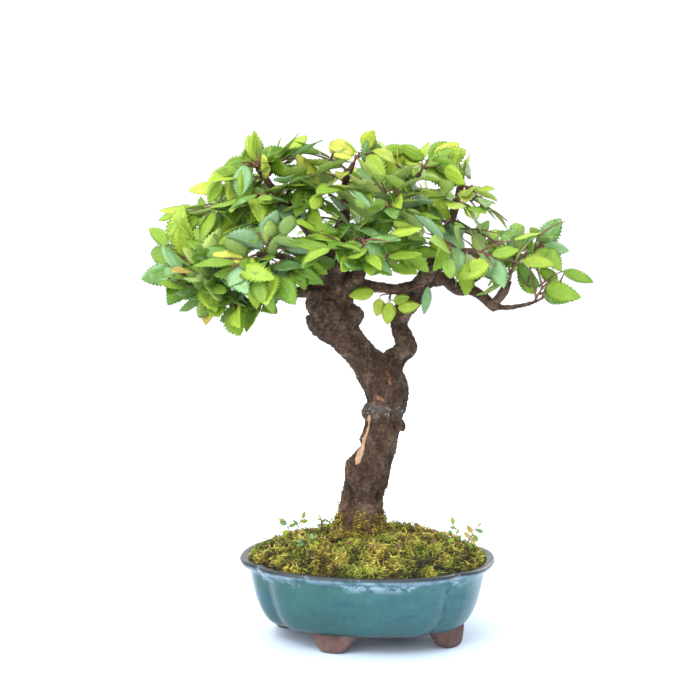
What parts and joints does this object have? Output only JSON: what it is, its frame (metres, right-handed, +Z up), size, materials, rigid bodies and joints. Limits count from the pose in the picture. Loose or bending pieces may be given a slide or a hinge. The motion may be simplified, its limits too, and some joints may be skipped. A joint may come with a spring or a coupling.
{
  "type": "bonsai tree in a pot",
  "caption": "Small elm bonsai with a crooked forked trunk and bright green leaves, in a shallow teal glazed pot of four lobes filled with moss.",
  "frame": {"origin": "middle of the whole object's outline seen from above, on the surface that it stands on", "axes": "+Z up; the pot's length lies along X and its depth along Y; the tree's best side faces -Y, turned a little towards +X"},
  "size_m": [0.2906, 0.1962, 0.3411],
  "materials": {
    "glazed_stoneware": "glossy blue-green glaze",
    "bare_clay": "unglazed reddish-brown stoneware, matte",
    "mesh_plastic": "matte",
    "soil": "loose and crumbly",
    "moss": "soft living moss, matte",
    "bark": "rough flaking bark",
    "leaf": "thin living leaf with a soft sheen",
    "young_leaf": "thin young leaf, lime green with a soft sheen",
    "seedling": "thin living leaf"
  },
  "bodies": {
    "root": {"drain_mesh_left": "mesh_plastic", "drain_mesh_right": "mesh_plastic", "foot_back": "bare_clay", "foot_front": "bare_clay", "foot_left": "bare_clay", "foot_right": "bare_clay", "moss": "moss", "pot": "glazed_stoneware", "shoot_01": "leaf", "shoot_02": "leaf", "shoot_03": "leaf", "shoot_04": "leaf", "shoot_05": "leaf", "shoot_06": "leaf", "shoot_07": "leaf", "shoot_08": "leaf", "shoot_09": "leaf", "shoot_10": "leaf", "shoot_11": "leaf", "shoot_12": "leaf", "shoot_13": "leaf", "shoot_14": "leaf", "shoot_15": "leaf", "shoot_16": "leaf", "shoot_17": "leaf", "shoot_18": "leaf", "shoot_19": "leaf", "shoot_20": "leaf", "shoot_21": "leaf", "shoot_22": "leaf", "shoot_23": "leaf", "shoot_24": "leaf", "shoot_25": "leaf", "shoot_26": "leaf", "shoot_27": "leaf", "shoot_28": "leaf", "shoot_29": "leaf", "shoot_30": "leaf", "shoot_31": "leaf", "shoot_32": "leaf", "shoot_33": "leaf", "shoot_34": "leaf", "shoot_35": "leaf", "shoot_36": "leaf", "shoot_37": "leaf", "shoot_38": "leaf", "shoot_39": "leaf", "shoot_40": "leaf", "shoot_41": "leaf", "shoot_42": "leaf", "shoot_43": "leaf", "shoot_44": "leaf", "shoot_45": "young_leaf", "shoot_46": "young_leaf", "soil": "soil", "sprout_back_left": "seedling", "sprout_front_left": "seedling", "sprout_near_trunk": "seedling", "sprout_right": "seedling", "trunk": "bark"}
  },
  "joints": []
}
